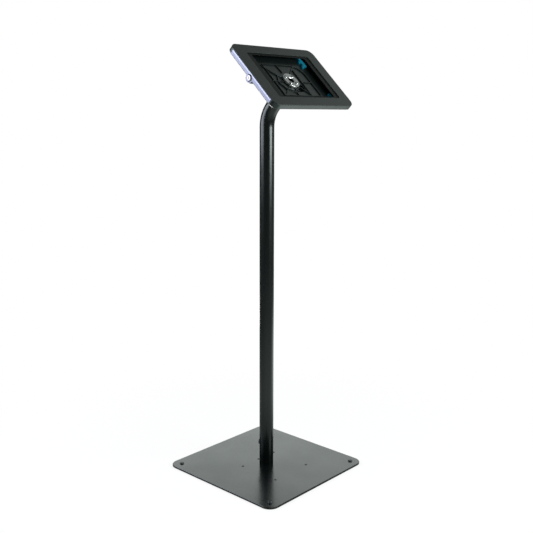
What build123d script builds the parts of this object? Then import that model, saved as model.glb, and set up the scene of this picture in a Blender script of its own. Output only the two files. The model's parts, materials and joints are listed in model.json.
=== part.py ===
from build123d import *
import math
import os

# Floor-standing security kiosk for a tablet, in millimetres.
# +Z is up, the screen faces -Y and the lock is on the -X side. The origin is on the
# floor, at the middle of the footprint. Pieces of the enclosure are drawn flat, with
# Z = 0 on the front of the faceplate, and are then set on the tilted neck.

# Floor plate and feet
PLATE_SIDE = 400
PLATE_T = 5
PLATE_CORNER_R = 28
PLATE_EDGE = 0.8
FOOT_INSET = 27
FOOT_R = 14
FOOT_T = 2
FOOT_SCREW_R = 3
FOOT_SCREW_LIFT = 0.6
FOOT_HEAD_R = 6.2
FOOT_HEAD_H = 3.3
FOOT_SOCKET_R = 2
FOOT_SOCKET_DEPTH = 1.8
ACCESSORY_SPAN_X = 131
ACCESSORY_SPAN_Y = 126
ACCESSORY_MID_Y = -32
ACCESSORY_HOLE_R = 3.5

# Pole and its foot
POLE_R = 20
POLE_WALL = 2
BEND_R = 80
TILT_DEG = 44
NECK_Z = 999.4
NECK_LENGTH = 105.4
PLUG_HEIGHT = 25
POLE_SCREW_COUNT = 3
POLE_SCREW_PITCH_R = 11
POLE_SCREW_R = 3
POLE_SCREW_HEAD_R = 5.6
POLE_SCREW_LENGTH = 20
CABLE_EXIT_HEIGHT = 60
GROMMET_NECK_R = 8
GROMMET_FLANGE_R = 10.5
FLANGE_EDGE = 0.8
GROMMET_BORE_R = 5.5
GROMMET_PROUD = 1.8

# Swivel between the neck and the enclosure
FLANGE_R = 32
FLANGE_T = 8
SPIGOT_LENGTH = 12
SWIVEL_BOSS_R = 20
SWIVEL_CABLE_R = 8.5
REAR_WASHER_R = 30
REAR_WASHER_T = 1.5
FRONT_WASHER_R = 24.6
FRONT_WASHER_T = 1
RING_R = 25
RING_T = 2.5
RING_BORE_R = 9
RING_EDGE = 1.2
RING_BORE_EDGE = 1.2
RING_CLEARANCE = 0.6
CLAMP_SCREW_COUNT = 4
CLAMP_SCREW_PITCH_R = 16.5
CLAMP_SCREW_R = 2
CLAMP_HEAD_R = 4.4
CLAMP_HEAD_H = 2.3
CLAMP_SOCKET_R = 1.5
CLAMP_SOCKET_DEPTH = 1.2
CLAMP_SCREW_LENGTH = 10
STOP_PIN_R = 1.3
STOP_RADIUS = 22.6
STOP_ANGLE_DEG = 135
SWIVEL_TRAVEL_DEG = 90

# Enclosure: rear shell and faceplate
CASE_W = 312
CASE_H = 216
CASE_T = 17
CASE_CORNER_R = 20
SHELL_WALL = 3
FLOOR_T = 2
REAR_CHAMFER = 3
FACE_T = 2
FACE_EDGE_R = 0.9
FACE_BORDER_X = 37
FACE_BORDER_Y = 28.5
WINDOW_R = 8
WINDOW_EDGE = 0.4
HUB_POCKET_R = 44
HUB_DROP = 5
HUB_WALL = 3
HUB_COLLAR_R = 26
HUB_COLLAR_H = 2
HUB_RECESS_RIGHT = 27
HUB_SHELF_ANGLES = (-35, 160)
HUB_BOSS_R = 3.2
HUB_BOSS_BORE_R = 1.3
HUB_BOSS_PITCH_R = 41
HUB_BOSS_ANGLE_DEG = 259
CASE_POST_R = 3.5
CASE_POST_INSET = 12
CASE_POST_MID_INSET = 10
CASE_SCREW_R = 1.5
CASE_SCREW_HEAD_R = 2.8
CASE_SCREW_LENGTH = 10

# Ribs moulded on the tray floor: their places are shares of half the rib frame, from its middle
RIB_W = 1.6
RIB_H = 2.6
RIB_FRAME_R = 38
RIB_VIEW_INSET_X = 30
RIB_VIEW_INSET_TOP = 19.4
RIB_VIEW_INSET_BOTTOM = 14
SPIDER_RIB_SHARES = {
    "upper_left_arm": [(-1.153, 0.937), (-0.604, 0.257)],
    "left_web": [(-0.625, 0.274), (-0.757, -0.031), (-0.799, -0.215), (-0.701, -0.407), (-0.625, -0.625)],
    "left_band": [(-1.111, -0.105), (-0.5, -0.096)],
    "upper_rib": [(-0.267, 0.972), (-0.222, 0.483)],
    "upper_right_arm": [(0.632, 0.963), (0.208, 0.475)],
    "right_upright": [(0.465, 0.693), (0.465, -0.983)],
    "right_band": [(0.465, -0.105), (0.986, -0.105)],
    "lower_left_arm": [(-0.819, -0.839), (-0.431, -0.412)],
    "lower_web": [(-0.535, -0.555), (-0.236, -0.756)],
    "lower_rib": [(-0.236, -0.983), (-0.244, -0.773), (-0.16, -0.546)],
    "lower_right_arm": [(0.479, -0.921), (0.125, -0.449)],
}

# Window mask, foam and tablet stops
MASK_T = 1.5
MASK_LAP_X = 9
MASK_LAP_Y = 8.5
MASK_R = 10
MASK_LIP_X = 17
MASK_LIP_Y = 5.5
MASK_OPENING_R = 6
FOAM_T = 2
FOAM_W = 9
FOAM_MARGIN = 2
STOP_SPINE_W = 12.5
STOP_SPINE_LENGTH = 38
STOP_SPINE_SETBACK = 3
STOP_FINGER_W = 7
STOP_FINGER_REACH = 5
STOP_FINGER_H = 5
STOP_H = 6
STOP_UPPER_SHOWING = (19.6, 27)
STOP_LOWER_SHOWING = (1.6, 21)
STOP_FINGER_PITCH = 17
STOP_SCREW_ALONG = 34
STOP_SCREW_R = 1.5
STOP_SCREW_HEAD_R = 2.7
STOP_SCREW_HEAD_H = 1.6

# Side bar that closes the tablet slot
BAR_END_INSET = 19.3
BAR_T = 6
BAR_EDGE = 0.8
LUG_R = 12
BLADE_T = 2.3
BLADE_LENGTH = 20
BLADE_W = 7
BLADE_LIFT = 2.2
BAR_END_CLEARANCE = 0.3
GUIDE_T = 3
GUIDE_OVERLAP = 2

# Cam lock in the side bar
LOCK_DEPTH = 14.5
LOCK_HEAD_R = 9
LOCK_HEAD_T = 3
LOCK_HEAD_EDGE = 2.4
LOCK_BODY_R = 7.5
LOCK_BODY_LENGTH = 19.6
LOCK_PLUG_R = 5.4
LOCK_NUT_R = 10
LOCK_NUT_T = 3
KEYWAY_W = 1.4
KEYWAY_LENGTH = 7
KEYWAY_DEPTH = 8
CAM_T = 2
CAM_W = 8
CAM_REACH = 11.2
CAM_SQUARE = 5.5
CAM_GAP = 0.2
CAM_STUD_R = 2
CAM_STUD_LENGTH = 3.6
CAM_NUT_R = 3.6
CAM_NUT_T = 2.6
LOCK_POCKET_R = 11.8
LOCK_POCKET_WALL = 2
LOCK_POCKET_LENGTH = 20
LUG_CLEARANCE = 0.4
CATCH_T = 1.6
CATCH_GAP = 0.4
CATCH_H = 7
CATCH_TONGUE_START = 8.3
CATCH_FOOT_START = 13
CATCH_LENGTH = 17
CATCH_FOOT_W = 10
CATCH_SCREW_R = 1.2
CATCH_SCREW_HEAD_R = 2.2
CATCH_SCREW_HEAD_H = 1.2

# Clearances shared by the fits
RUNNING_FIT = 0.05
SCREW_FIT = 0.03
SLIDE_FIT = 0.1
OVERRUN = 1
HEAD_ROUND_SHARE = 0.75

# Heights and stations worked out from the sizes above
plate_top = FOOT_T + PLATE_T
tilt = math.radians(TILT_DEG)
neck = Vector(0, -math.sin(tilt), math.cos(tilt))
bend_corner = Vector(0, 0, NECK_Z)
neck_end = bend_corner + neck * NECK_LENGTH

face_back = -FACE_T
floor_top = -(CASE_T - FLOOR_T)
case_back = -CASE_T
hub_floor = floor_top - HUB_DROP
hub_back = case_back - HUB_DROP
collar_top = hub_floor + HUB_COLLAR_H
rib_top = floor_top + RIB_H
flange_front = hub_back - REAR_WASHER_T
flange_back = flange_front - FLANGE_T
boss_top = collar_top + FRONT_WASHER_T
ring_top = boss_top + RING_T
mask_back = face_back - MASK_T

window_w = CASE_W - 2 * FACE_BORDER_X
window_h = CASE_H - 2 * FACE_BORDER_Y
mask_w = window_w + 2 * MASK_LAP_X
mask_h = window_h + 2 * MASK_LAP_Y
mask_opening_w = window_w - 2 * MASK_LIP_X
mask_opening_h = window_h - 2 * MASK_LIP_Y
rib_frame_w = mask_opening_w - 2 * RIB_VIEW_INSET_X
rib_frame_h = mask_opening_h - RIB_VIEW_INSET_TOP - RIB_VIEW_INSET_BOTTOM
rib_frame_y = (RIB_VIEW_INSET_BOTTOM - RIB_VIEW_INSET_TOP) / 2
spider_ribs = [
    [(x * rib_frame_w / 2, rib_frame_y + y * rib_frame_h / 2) for x, y in shares]
    for shares in SPIDER_RIB_SHARES.values()
]

bar_length = CASE_H - 2 * BAR_END_INSET
bar_outer = -CASE_W / 2
bar_inner = bar_outer + BAR_T
slot_half = bar_length / 2 + BAR_END_CLEARANCE
guide_end = bar_inner + BLADE_LENGTH + GUIDE_OVERLAP
lock_back = bar_outer + LOCK_BODY_LENGTH
cam_front = lock_back + CAM_GAP
cam_back = cam_front + CAM_T

case_frame = Plane(origin=neck_end - neck * flange_back, x_dir=(1, 0, 0), z_dir=neck)


# Shapes that several pieces share

def disc(radius, low, high, x=0, y=0):
    """Cylinder along Z between two heights."""
    base = (Align.CENTER, Align.CENTER, Align.MIN)
    return Pos(x, y, low) * Cylinder(radius, high - low, align=base)


def side_disc(radius, start, end, y=0, z=0):
    """Cylinder along X between two stations."""
    base = (Align.CENTER, Align.CENTER, Align.MIN)
    return Pos(start, y, z) * Rot(0, 90, 0) * Cylinder(radius, end - start, align=base)


def block(x_span, y_span, z_span):
    """Box between two corners, given as a pair of limits for each axis."""
    corner = (Align.MIN, Align.MIN, Align.MIN)
    size = [span[1] - span[0] for span in (x_span, y_span, z_span)]
    return Pos(x_span[0], y_span[0], z_span[0]) * Box(*size, align=corner)


def slab(width, depth, corner_r, low, high):
    """Rounded plate between two heights."""
    return Pos(0, 0, low) * extrude(RectangleRounded(width, depth, corner_r), amount=high - low)


def countersink(radius, head_r, low, depth):
    """Cone that opens downwards at low, as deep as its flanks of 45 degrees need."""
    base = (Align.CENTER, Align.CENTER, Align.MIN)
    return Pos(0, 0, low) * Cone(head_r, radius, depth, align=base)


def flat_screw(radius, head_r, low, length):
    """Countersunk screw whose head face lies at low."""
    return countersink(radius, head_r, low, head_r - radius) + disc(radius, low, low + length)


def button_screw(radius, head_r, head_h, seat, length, socket_r, socket_depth):
    """Round-headed socket screw, its head standing on seat and its shank below."""
    head = disc(head_r, seat, seat + head_h)
    head = fillet(head.edges().sort_by(Axis.Z)[-1], head_h * HEAD_ROUND_SHARE)
    socket = extrude(RegularPolygon(socket_r, 6), amount=socket_depth + OVERRUN)
    head -= Pos(0, 0, seat + head_h - socket_depth) * socket
    return head + disc(radius, seat - length, seat)


def around(count, pitch_r, start_deg):
    """Places evenly spaced on a circle."""
    places = []
    for index in range(count):
        angle = math.radians(start_deg + 360 * index / count)
        places.append((pitch_r * math.cos(angle), pitch_r * math.sin(angle)))
    return places


# Floor base

foot_at = PLATE_SIDE / 2 - FOOT_INSET
foot_places = [(x, y) for x in (-foot_at, foot_at) for y in (-foot_at, foot_at)]
pole_screw_places = around(POLE_SCREW_COUNT, POLE_SCREW_PITCH_R, 90)
back_row_y = ACCESSORY_MID_Y + ACCESSORY_SPAN_Y / 2
accessory_places = [
    (x, ACCESSORY_MID_Y + y)
    for x in (-ACCESSORY_SPAN_X / 2, ACCESSORY_SPAN_X / 2)
    for y in (-ACCESSORY_SPAN_Y / 2, ACCESSORY_SPAN_Y / 2)
]
accessory_places.append((0, back_row_y))


def make_base_plate():
    plate = slab(PLATE_SIDE, PLATE_SIDE, PLATE_CORNER_R, FOOT_T, plate_top)
    plate = chamfer(plate.faces().sort_by(Axis.Z)[-1].edges(), PLATE_EDGE)
    for x, y in foot_places:
        plate -= disc(FOOT_SCREW_R + SLIDE_FIT, 0, plate_top + OVERRUN, x, y)
    for x, y in accessory_places:
        plate -= disc(ACCESSORY_HOLE_R, 0, plate_top + OVERRUN, x, y)
    sink_r = POLE_SCREW_HEAD_R + SLIDE_FIT
    hole_r = POLE_SCREW_R + SLIDE_FIT
    for x, y in pole_screw_places:
        plate -= disc(hole_r, 0, plate_top + OVERRUN, x, y)
        plate -= Pos(x, y, 0) * countersink(hole_r, sink_r, FOOT_T, sink_r - hole_r)
    return plate


def make_foot_pads():
    pad = disc(FOOT_R, 0, FOOT_T) - disc(FOOT_SCREW_R + SCREW_FIT, -OVERRUN, FOOT_T + OVERRUN)
    return [Pos(x, y, 0) * pad for x, y in foot_places]


def make_foot_screws():
    length = plate_top - FOOT_SCREW_LIFT
    screw = button_screw(
        FOOT_SCREW_R, FOOT_HEAD_R, FOOT_HEAD_H, plate_top, length, FOOT_SOCKET_R, FOOT_SOCKET_DEPTH
    )
    return [Pos(x, y, 0) * screw for x, y in foot_places]


def make_pole_plug():
    plug = disc(POLE_R - POLE_WALL - RUNNING_FIT, plate_top, plate_top + PLUG_HEIGHT)
    for x, y in pole_screw_places:
        plug -= disc(POLE_SCREW_R + SCREW_FIT, 0, FOOT_T + POLE_SCREW_LENGTH + OVERRUN, x, y)
    return plug


def make_pole_screws():
    screw = flat_screw(POLE_SCREW_R, POLE_SCREW_HEAD_R, FOOT_T, POLE_SCREW_LENGTH)
    return [Pos(x, y, 0) * screw for x, y in pole_screw_places]


# Pole, bent forward at the top

cable_exit_z = plate_top + CABLE_EXIT_HEIGHT
rear_plane = Plane(origin=(0, 0, cable_exit_z), x_dir=(1, 0, 0), z_dir=(0, 1, 0))


def make_pole_tube():
    tangent = BEND_R * math.tan(tilt / 2)
    bend_start = bend_corner - Vector(0, 0, tangent)
    bend_end = bend_corner + neck * tangent
    bend_centre = bend_start - Vector(0, BEND_R, 0)
    half_way = Vector(0, math.cos(tilt / 2), math.sin(tilt / 2)) * BEND_R
    path = Line((0, 0, plate_top), bend_start)
    path += ThreePointArc(bend_start, bend_centre + half_way, bend_end)
    path += Line(bend_end, neck_end)
    section = Circle(POLE_R) - Circle(POLE_R - POLE_WALL)
    tube = sweep(Pos(0, 0, plate_top) * section, path=path)
    tube -= rear_plane * disc(GROMMET_NECK_R, 0, POLE_R + OVERRUN)
    return tube


def make_cable_grommet():
    low = cable_exit_z - 2 * GROMMET_FLANGE_R
    high = cable_exit_z + 2 * GROMMET_FLANGE_R
    bore_r = POLE_R - POLE_WALL
    inner_face = math.sqrt(bore_r ** 2 - GROMMET_FLANGE_R ** 2) - GROMMET_PROUD
    outer_face = POLE_R + GROMMET_PROUD
    collar = rear_plane * disc(GROMMET_FLANGE_R, inner_face, outer_face)
    neck_ring = rear_plane * disc(GROMMET_NECK_R, inner_face, outer_face)
    outside = collar - disc(POLE_R, low, high)
    inside = collar & disc(bore_r, low, high)
    grommet = outside + neck_ring + inside
    return grommet - rear_plane * disc(GROMMET_BORE_R, 0, POLE_R + 2 * GROMMET_PROUD)


# Swivel

clamp_places = around(CLAMP_SCREW_COUNT, CLAMP_SCREW_PITCH_R, 45)
stop_angle = math.radians(STOP_ANGLE_DEG)
stop_place = (STOP_RADIUS * math.cos(stop_angle), STOP_RADIUS * math.sin(stop_angle))
pin_foot = flange_front - REAR_WASHER_T


def make_swivel_flange():
    flange = disc(FLANGE_R, flange_back, flange_front)
    flange = chamfer(flange.edges().filter_by(GeomType.CIRCLE), FLANGE_EDGE)
    flange += disc(SWIVEL_BOSS_R, flange_front, boss_top)
    flange += disc(POLE_R - POLE_WALL - RUNNING_FIT, flange_back - SPIGOT_LENGTH, flange_back)
    flange -= disc(SWIVEL_CABLE_R, flange_back - SPIGOT_LENGTH - OVERRUN, boss_top + OVERRUN)
    hole_low = ring_top - CLAMP_SCREW_LENGTH - OVERRUN
    for x, y in clamp_places:
        flange -= disc(CLAMP_SCREW_R + SCREW_FIT, hole_low, boss_top + OVERRUN, x, y)
    flange -= disc(STOP_PIN_R + SCREW_FIT, pin_foot, flange_front + OVERRUN, *stop_place)
    return flange


def make_friction_washer(outer_r, low, high):
    washer = disc(outer_r, low, high) - disc(SWIVEL_BOSS_R + SLIDE_FIT, low - OVERRUN, high + OVERRUN)
    return washer - disc(STOP_PIN_R + SLIDE_FIT, low - OVERRUN, high + OVERRUN, *stop_place)


def make_stop_pin():
    return disc(STOP_PIN_R, pin_foot, boss_top, *stop_place)


def make_clamp_ring():
    ring = disc(RING_R, boss_top, ring_top)
    ring = fillet(ring.edges().sort_by(Axis.Z)[-1], RING_EDGE)
    ring -= disc(RING_BORE_R, boss_top - OVERRUN, ring_top + OVERRUN)
    bore_edge = Cone(RING_BORE_R, RING_BORE_R + RING_BORE_EDGE, RING_BORE_EDGE)
    ring -= Pos(0, 0, ring_top - RING_BORE_EDGE / 2) * bore_edge
    for x, y in clamp_places:
        ring -= disc(CLAMP_SCREW_R + SLIDE_FIT, boss_top - OVERRUN, ring_top + OVERRUN, x, y)
    return ring


def make_clamp_screws():
    screw = button_screw(
        CLAMP_SCREW_R, CLAMP_HEAD_R, CLAMP_HEAD_H, ring_top, CLAMP_SCREW_LENGTH,
        CLAMP_SOCKET_R, CLAMP_SOCKET_DEPTH
    )
    return [Pos(x, y, 0) * screw for x, y in clamp_places]


# Enclosure

post_x = CASE_W / 2 - CASE_POST_INSET
post_y = CASE_H / 2 - CASE_POST_INSET
post_places = [(x, y) for x in (-post_x, post_x) for y in (-post_y, post_y)]
post_places += [(0, y) for y in (CASE_POST_MID_INSET - CASE_H / 2, CASE_H / 2 - CASE_POST_MID_INSET)]
case_screw_hole_r = CASE_SCREW_R + SLIDE_FIT
case_sink_r = CASE_SCREW_HEAD_R + SLIDE_FIT
boss_angle = math.radians(HUB_BOSS_ANGLE_DEG)
hub_boss_place = (HUB_BOSS_PITCH_R * math.cos(boss_angle), HUB_BOSS_PITCH_R * math.sin(boss_angle))


def rib(start, end, foot=floor_top):
    """Straight rib in the tray between two places, from its foot to the ribs' common top."""
    length = math.hypot(end[0] - start[0], end[1] - start[1])
    angle = math.degrees(math.atan2(end[1] - start[1], end[0] - start[0]))
    bar = block((0, length), (-RIB_W / 2, RIB_W / 2), (foot, rib_top))
    return Pos(start[0], start[1], 0) * Rot(0, 0, angle) * bar


def rib_run(places, foot=floor_top):
    """Ribs from each place to the next, joined by round posts at the bends."""
    pieces = [rib(start, end, foot) for start, end in zip(places, places[1:])]
    return pieces + [disc(RIB_W / 2, foot, rib_top, *place) for place in places[1:-1]]


def frame_outline(width, height, corner_r):
    """Rectangle whose upper right corner is round."""
    outline = Rectangle(width, height)
    corner = outline.vertices().sort_by_distance((width, height))[0]
    return Pos(0, rib_frame_y) * fillet(corner, corner_r)


def make_rib_frame():
    """Frame of ribs round the swivel."""
    outer = frame_outline(rib_frame_w, rib_frame_h, RIB_FRAME_R)
    inner = frame_outline(rib_frame_w - 2 * RIB_W, rib_frame_h - 2 * RIB_W, RIB_FRAME_R - RIB_W)
    frame = Pos(0, 0, floor_top) * extrude(outer, amount=RIB_H)
    return frame - Pos(0, 0, floor_top - OVERRUN) * extrude(inner, amount=RIB_H + 2 * OVERRUN)


def make_recess():
    """Space round the swivel that lies deeper than the tray floor, except for a shelf."""
    low, high = hub_floor, rib_top + OVERRUN
    recess = disc(HUB_POCKET_R, low, high)
    recess &= block((-HUB_POCKET_R, HUB_RECESS_RIGHT), (-HUB_POCKET_R, HUB_POCKET_R), (low, high))
    far = 2 * HUB_POCKET_R
    start, end = [math.radians(angle) for angle in HUB_SHELF_ANGLES]
    corners = [(0, 0), (far * math.cos(start), far * math.sin(start)), (far, far), (-far, far)]
    corners.append((far * math.cos(end), far * math.sin(end)))
    shelf = Pos(0, 0, low - OVERRUN) * extrude(Polygon(*corners, align=None), amount=high - low + 2 * OVERRUN)
    return recess - shelf + disc(RING_R + RING_CLEARANCE, low, high)


def make_arms():
    """Ends of the ribs that reach into the recess, and the small boss beside one of them."""
    zone = disc(HUB_POCKET_R + HUB_WALL / 2, hub_floor, rib_top)
    zone -= disc(RING_R + RING_CLEARANCE, hub_floor - OVERRUN, rib_top + OVERRUN)
    arms = [piece & zone for places in spider_ribs for piece in rib_run(places, hub_floor)]
    return [arm for arm in arms if arm.volume > 0] + [disc(HUB_BOSS_R, hub_floor, rib_top, *hub_boss_place)]


def make_rear_shell():
    shell = slab(CASE_W, CASE_H, CASE_CORNER_R, case_back, face_back)
    shell = chamfer(shell.faces().sort_by(Axis.Z)[0].edges(), REAR_CHAMFER)
    inner_w = CASE_W - 2 * SHELL_WALL
    inner_h = CASE_H - 2 * SHELL_WALL
    shell -= slab(inner_w, inner_h, CASE_CORNER_R - SHELL_WALL, floor_top, face_back + OVERRUN)
    slot_x = (bar_outer - OVERRUN, bar_outer + SHELL_WALL + OVERRUN)
    shell -= block(slot_x, (-slot_half, slot_half), (floor_top, face_back + OVERRUN))
    for side in (-1, 1):
        y_span = sorted((side * slot_half, side * (slot_half + GUIDE_T)))
        shell += block((bar_outer + SHELL_WALL, guide_end), y_span, (floor_top, face_back))
    shell += make_rib_frame()
    for places in spider_ribs:
        for piece in rib_run(places):
            shell += piece
    shell += disc(HUB_POCKET_R + HUB_WALL, hub_back, floor_top)
    shell -= make_recess()
    shell += disc(HUB_COLLAR_R, hub_floor, collar_top)
    for arm in make_arms():
        shell += arm
    shell -= disc(HUB_BOSS_BORE_R, hub_floor, rib_top + OVERRUN, *hub_boss_place)
    shell -= disc(SWIVEL_BOSS_R + RUNNING_FIT, hub_back - OVERRUN, collar_top + OVERRUN)
    arc = CenterArc((0, 0), STOP_RADIUS, STOP_ANGLE_DEG - SWIVEL_TRAVEL_DEG, SWIVEL_TRAVEL_DEG)
    stop_slot = SlotArc(arc, 2 * (STOP_PIN_R + SLIDE_FIT))
    shell -= Pos(0, 0, hub_back - OVERRUN) * extrude(stop_slot, amount=collar_top - hub_back + 2 * OVERRUN)
    for x, y in post_places:
        shell -= disc(case_screw_hole_r, case_back - OVERRUN, floor_top + OVERRUN, x, y)
        sink = countersink(case_screw_hole_r, case_sink_r, case_back, case_sink_r - case_screw_hole_r)
        shell -= Pos(x, y, 0) * sink
    return cut_lock_pocket(shell)


def cut_lock_pocket(shell):
    """Half-round pocket behind the floor that the lock and its cam sit in."""
    pocket_end = bar_inner + LOCK_POCKET_LENGTH
    outer_r = LOCK_POCKET_R + LOCK_POCKET_WALL
    cover = side_disc(outer_r, bar_inner, pocket_end + LOCK_POCKET_WALL, 0, -LOCK_DEPTH)
    under = (case_back - 2 * outer_r, floor_top)
    cover &= block((bar_inner, 0), (-2 * outer_r, 2 * outer_r), under)
    shell += cover
    shell -= side_disc(LOCK_POCKET_R, bar_inner - OVERRUN, pocket_end, 0, -LOCK_DEPTH)
    shell -= side_disc(LUG_R + LUG_CLEARANCE, bar_outer - OVERRUN, bar_inner, 0, -LOCK_DEPTH)
    for x, y in catch_screw_places:
        shell -= disc(CATCH_SCREW_R + SCREW_FIT, case_back - OVERRUN, floor_top + OVERRUN, x, y)
    for x, y in stop_screw_places:
        shell -= disc(STOP_SCREW_R + SCREW_FIT, case_back - OVERRUN, floor_top + OVERRUN, x, y)
    return shell


def make_faceplate():
    face = slab(CASE_W, CASE_H, CASE_CORNER_R, face_back, 0)
    face = fillet(face.faces().sort_by(Axis.Z)[-1].edges(), FACE_EDGE_R)
    window = slab(window_w, window_h, WINDOW_R, face_back - OVERRUN, OVERRUN)
    face -= window
    rim = slab(window_w + 2 * WINDOW_EDGE, window_h + 2 * WINDOW_EDGE, WINDOW_R, -WINDOW_EDGE, 0)
    face -= rim
    screw_top = case_back + CASE_SCREW_LENGTH
    for x, y in post_places:
        face += disc(CASE_POST_R, floor_top, face_back, x, y)
        face -= disc(CASE_SCREW_R + SCREW_FIT, floor_top - OVERRUN, screw_top + OVERRUN, x, y)
    return face


def make_case_screws():
    screw = flat_screw(CASE_SCREW_R, CASE_SCREW_HEAD_R, case_back, CASE_SCREW_LENGTH)
    return [Pos(x, y, 0) * screw for x, y in post_places]


def make_window_mask():
    mask = slab(mask_w, mask_h, MASK_R, mask_back, face_back)
    opening = slab(
        mask_opening_w, mask_opening_h, MASK_OPENING_R, mask_back - OVERRUN, face_back + OVERRUN
    )
    return mask - opening


def make_foam_strips():
    z_span = (mask_back - FOAM_T, mask_back)
    inner_x = mask_opening_w / 2 + FOAM_MARGIN
    inner_y = mask_opening_h / 2 + FOAM_MARGIN
    strips = []
    for side in (-1, 1):
        x_span = sorted((side * inner_x, side * (inner_x + FOAM_W)))
        strips.append(block(x_span, (-inner_y, inner_y), z_span))
        y_span = sorted((side * (inner_y + SLIDE_FIT), side * (inner_y + FOAM_W)))
        strips.append(block((-inner_x, inner_x), y_span, z_span))
    return strips


# Tablet stops: a spine with two lower fingers that point to the middle

stop_top = floor_top + STOP_H
stop_starts = {
    "upper_right": (mask_opening_w / 2 - STOP_UPPER_SHOWING[0], mask_opening_h / 2 - STOP_UPPER_SHOWING[1]),
    "lower_right": (mask_opening_w / 2 - STOP_LOWER_SHOWING[0], STOP_LOWER_SHOWING[1] - mask_opening_h / 2),
}
stop_screw_places = [
    (x + STOP_FINGER_REACH + STOP_SPINE_W / 2, y + math.copysign(STOP_SCREW_ALONG, y))
    for x, y in stop_starts.values()
]


def make_stop(start_x, start_y, screw_place):
    """Stop whose finger tips start at a place and whose spine runs away from the middle."""
    def along(low, high):
        return sorted((start_y + math.copysign(low, start_y), start_y + math.copysign(high, start_y)))

    spine_x = start_x + STOP_FINGER_REACH
    spine_y = along(STOP_SPINE_SETBACK, STOP_SPINE_SETBACK + STOP_SPINE_LENGTH)
    stop = block((spine_x, spine_x + STOP_SPINE_W), spine_y, (floor_top, stop_top))
    for low in (0, STOP_FINGER_PITCH):
        finger_y = along(low, low + STOP_FINGER_W)
        stop += block((start_x, spine_x + OVERRUN), finger_y, (floor_top, floor_top + STOP_FINGER_H))
    return stop - disc(STOP_SCREW_R + SLIDE_FIT, floor_top - OVERRUN, stop_top + OVERRUN, *screw_place)


def make_stop_screws():
    head = disc(STOP_SCREW_HEAD_R, stop_top, stop_top + STOP_SCREW_HEAD_H)
    screw = head + disc(STOP_SCREW_R, case_back, stop_top)
    return [Pos(x, y, 0) * screw for x, y in stop_screw_places]


# Catch behind which the cam turns

catch_x = cam_front - CATCH_GAP - CATCH_T
catch_foot_end = catch_x + CATCH_T + CATCH_FOOT_W
catch_end = CATCH_TONGUE_START + CATCH_LENGTH
catch_screw_x = catch_x + CATCH_T + CATCH_FOOT_W / 2
catch_screw_gap = (catch_end - CATCH_FOOT_START) / 4
catch_screw_places = [
    (catch_screw_x, CATCH_FOOT_START + catch_screw_gap),
    (catch_screw_x, catch_end - catch_screw_gap),
]


def make_catch_plate():
    upright_x = (catch_x, catch_x + CATCH_T)
    catch = block(upright_x, (CATCH_TONGUE_START, catch_end), (floor_top, floor_top + CATCH_H))
    foot_y = (CATCH_FOOT_START, catch_end)
    catch += block((catch_x, catch_foot_end), foot_y, (floor_top, floor_top + CATCH_T))
    for x, y in catch_screw_places:
        catch -= disc(CATCH_SCREW_R + SLIDE_FIT, floor_top - OVERRUN, floor_top + CATCH_T + OVERRUN, x, y)
    return catch


def make_catch_screws():
    seat = floor_top + CATCH_T
    screw = disc(CATCH_SCREW_HEAD_R, seat, seat + CATCH_SCREW_HEAD_H)
    screw += disc(CATCH_SCREW_R, case_back, seat)
    return [Pos(x, y, 0) * screw for x, y in catch_screw_places]


# Side bar and lock

def make_side_bar():
    z_span = (floor_top + SLIDE_FIT, face_back - SLIDE_FIT)
    bar = block((bar_outer, bar_inner), (-bar_length / 2, bar_length / 2), z_span)
    outer_face = bar.faces().sort_by(Axis.X)[0]
    bar = chamfer(outer_face.edges(), BAR_EDGE)
    bar += side_disc(LUG_R, bar_outer, bar_inner, 0, -LOCK_DEPTH)
    blade_z = (floor_top + BLADE_LIFT, floor_top + BLADE_LIFT + BLADE_W)
    for side in (-1, 1):
        y_span = sorted((side * (bar_length / 2 - BLADE_T), side * bar_length / 2))
        bar += block((bar_inner, bar_inner + BLADE_LENGTH), y_span, blade_z)
    hole_r = LOCK_BODY_R + SCREW_FIT
    return bar - side_disc(hole_r, bar_outer - OVERRUN, bar_inner + OVERRUN, 0, -LOCK_DEPTH)


def make_lock_barrel():
    head_front = bar_outer - LOCK_HEAD_T
    head = side_disc(LOCK_HEAD_R, head_front, bar_outer, 0, -LOCK_DEPTH)
    head = chamfer(head.edges().sort_by(Axis.X)[0], LOCK_HEAD_EDGE)
    barrel = head + side_disc(LOCK_BODY_R, bar_outer, lock_back, 0, -LOCK_DEPTH)
    bore_r = LOCK_PLUG_R + RUNNING_FIT
    return barrel - side_disc(bore_r, head_front - OVERRUN, lock_back + OVERRUN, 0, -LOCK_DEPTH)


def make_lock_nut():
    nut = Pos(bar_inner, 0, -LOCK_DEPTH) * Rot(0, 90, 0) * extrude(
        RegularPolygon(LOCK_NUT_R, 6), amount=LOCK_NUT_T
    )
    hole_r = LOCK_BODY_R + SCREW_FIT
    return nut - side_disc(hole_r, bar_inner - OVERRUN, bar_inner + LOCK_NUT_T + OVERRUN, 0, -LOCK_DEPTH)


def make_lock_plug():
    """Plug whose keyway stands upright when the enclosure is in landscape."""
    front = bar_outer - LOCK_HEAD_T + KEYWAY_W / 2
    plug = side_disc(LOCK_PLUG_R, front, cam_front, 0, -LOCK_DEPTH)
    half = CAM_SQUARE / 2
    plug += block(
        (cam_front, cam_back), (-half, half), (-LOCK_DEPTH - half, -LOCK_DEPTH + half)
    )
    plug += side_disc(CAM_STUD_R, cam_back, cam_back + CAM_STUD_LENGTH, 0, -LOCK_DEPTH)
    keyway_x = (front - OVERRUN, front + KEYWAY_DEPTH)
    keyway = block(keyway_x, (-KEYWAY_W / 2, KEYWAY_W / 2), (-KEYWAY_LENGTH / 2, KEYWAY_LENGTH / 2))
    return plug - Pos(0, 0, -LOCK_DEPTH) * Rot(-TILT_DEG, 0, 0) * keyway


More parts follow.
